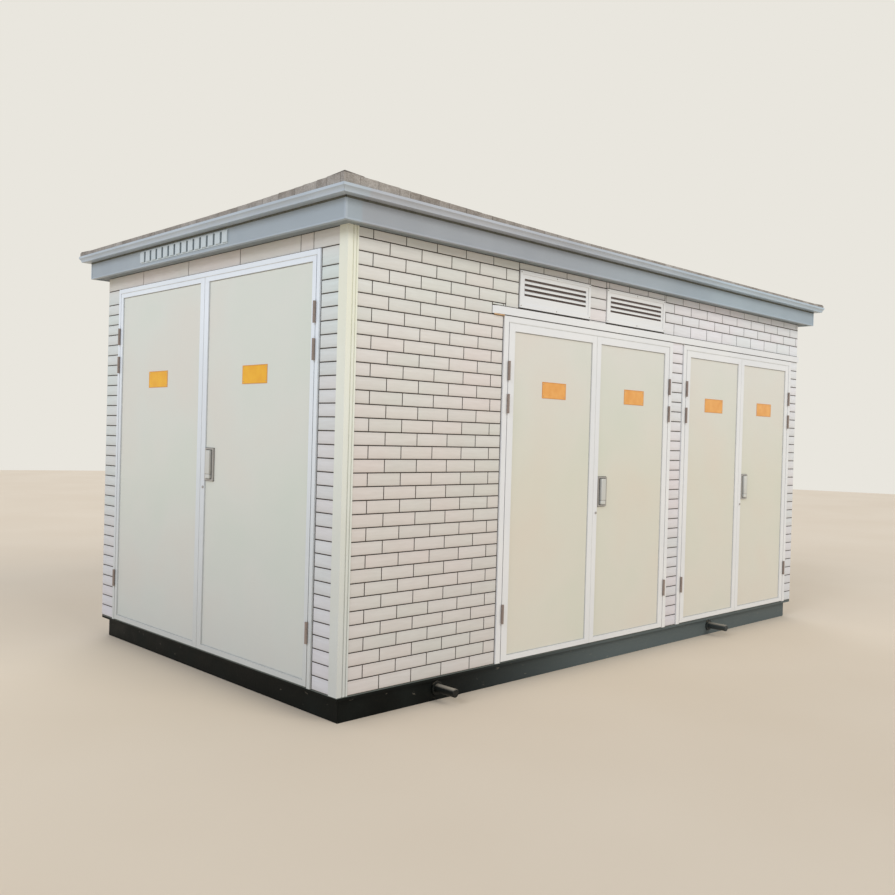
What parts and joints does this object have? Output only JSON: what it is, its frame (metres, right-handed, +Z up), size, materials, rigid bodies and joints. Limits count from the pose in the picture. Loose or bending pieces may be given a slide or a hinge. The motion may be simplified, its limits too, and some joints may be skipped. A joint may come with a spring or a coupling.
{
  "type": "compact substation",
  "caption": "Walk-in transformer and switchgear housing with brick-faced walls, hinged double doors, louvred vents, a shallow hip roof and a steel lifting skid.",
  "frame": {"origin": "middle of the plan at ground level, under the skid", "axes": "+X along the long front from the end with doors to the plain end, +Y from the front to the back, +Z up"},
  "size_m": [4.61, 2.68, 2.5711],
  "materials": {
    "skid_paint": "semi-gloss dark green-black paint",
    "corner_post": "satin cream paint",
    "brick_panel": "pale brick-pattern facing over dark joints",
    "white_aluminium": "white powder coat",
    "door_panel": "satin cream-grey paint",
    "hinge_metal": "grey-brown satin",
    "handle_metal": "satin grey",
    "ceiling_sheet": "matt blue-grey paint",
    "fascia_paint": "satin blue-grey paint",
    "drip_paint": "light blue-grey paint",
    "grille_paint": "pale blue-grey paint",
    "roof_slate": "matt mineral-coated shingle"
  },
  "bodies": {
    "housing": {"back_door_frames": "white_aluminium", "back_door_handles": "handle_metal", "back_door_hinges": "hinge_metal", "back_door_panels": "door_panel", "back_header": "brick_panel", "back_piers": "brick_panel", "back_wall": "brick_panel", "base_cross_beams": "skid_paint", "base_rails": "skid_paint", "ceiling_panel": "ceiling_sheet", "corner_post": "corner_post", "drip_edge": "drip_paint", "end_door_frame": "white_aluminium", "end_header": "brick_panel", "end_wall_strips": "brick_panel", "fascia_boards": "fascia_paint", "fascia_grilles": "grille_paint", "floor_plate": "skid_paint", "frame_hinges": "hinge_metal", "front_header": "brick_panel", "front_piers": "brick_panel", "front_wall": "brick_panel", "lifting_pins": "skid_paint", "lintel_rails": "white_aluminium", "louvre_vents": "white_aluminium", "right_wall": "brick_panel", "roof_caps": "roof_slate", "roof_cover": "roof_slate", "switchgear_door_frame": "white_aluminium", "transformer_door_frame": "white_aluminium"},
    "transformer_left_leaf": {"transformer_left_leaf_frame": "white_aluminium", "transformer_left_leaf_panel": "door_panel", "transformer_left_leaf_hinges": "hinge_metal"},
    "transformer_right_leaf": {"transformer_right_leaf_frame": "white_aluminium", "transformer_right_leaf_panel": "door_panel", "transformer_right_leaf_hinges": "hinge_metal", "transformer_door_handle": "handle_metal"},
    "switchgear_left_leaf": {"switchgear_left_leaf_frame": "white_aluminium", "switchgear_left_leaf_panel": "door_panel", "switchgear_left_leaf_hinges": "hinge_metal"},
    "switchgear_right_leaf": {"switchgear_right_leaf_frame": "white_aluminium", "switchgear_right_leaf_panel": "door_panel", "switchgear_right_leaf_hinges": "hinge_metal", "switchgear_door_handle": "handle_metal"},
    "end_left_leaf": {"end_left_leaf_frame": "white_aluminium", "end_left_leaf_panel": "door_panel", "end_left_leaf_hinges": "hinge_metal"},
    "end_right_leaf": {"end_right_leaf_frame": "white_aluminium", "end_right_leaf_panel": "door_panel", "end_right_leaf_hinges": "hinge_metal", "end_door_handle": "handle_metal"}
  },
  "joints": [
    {"name": "transformer_left_leaf_hinge", "type": "hinge", "parent": "housing", "child": "transformer_left_leaf", "pos_m": [-1.1085, -1.2175, 1.028], "axis": [0, 0, -1], "range_deg": [0, 90]},
    {"name": "transformer_right_leaf_hinge", "type": "hinge", "parent": "housing", "child": "transformer_right_leaf", "pos_m": [0.3985, -1.2175, 1.028], "axis": [0, 0, 1], "range_deg": [0, 90]},
    {"name": "switchgear_left_leaf_hinge", "type": "hinge", "parent": "housing", "child": "switchgear_left_leaf", "pos_m": [0.6015, -1.2175, 1.028], "axis": [0, 0, -1], "range_deg": [0, 90]},
    {"name": "switchgear_right_leaf_hinge", "type": "hinge", "parent": "housing", "child": "switchgear_right_leaf", "pos_m": [2.0185, -1.2175, 1.028], "axis": [0, 0, 1], "range_deg": [0, 90]},
    {"name": "end_left_leaf_hinge", "type": "hinge", "parent": "housing", "child": "end_left_leaf", "pos_m": [-2.1825, 1.0135, 1.028], "axis": [0, 0, -1], "range_deg": [0, 100]},
    {"name": "end_right_leaf_hinge", "type": "hinge", "parent": "housing", "child": "end_right_leaf", "pos_m": [-2.1825, -0.9835, 1.028], "axis": [0, 0, 1], "range_deg": [0, 100]}
  ]
}
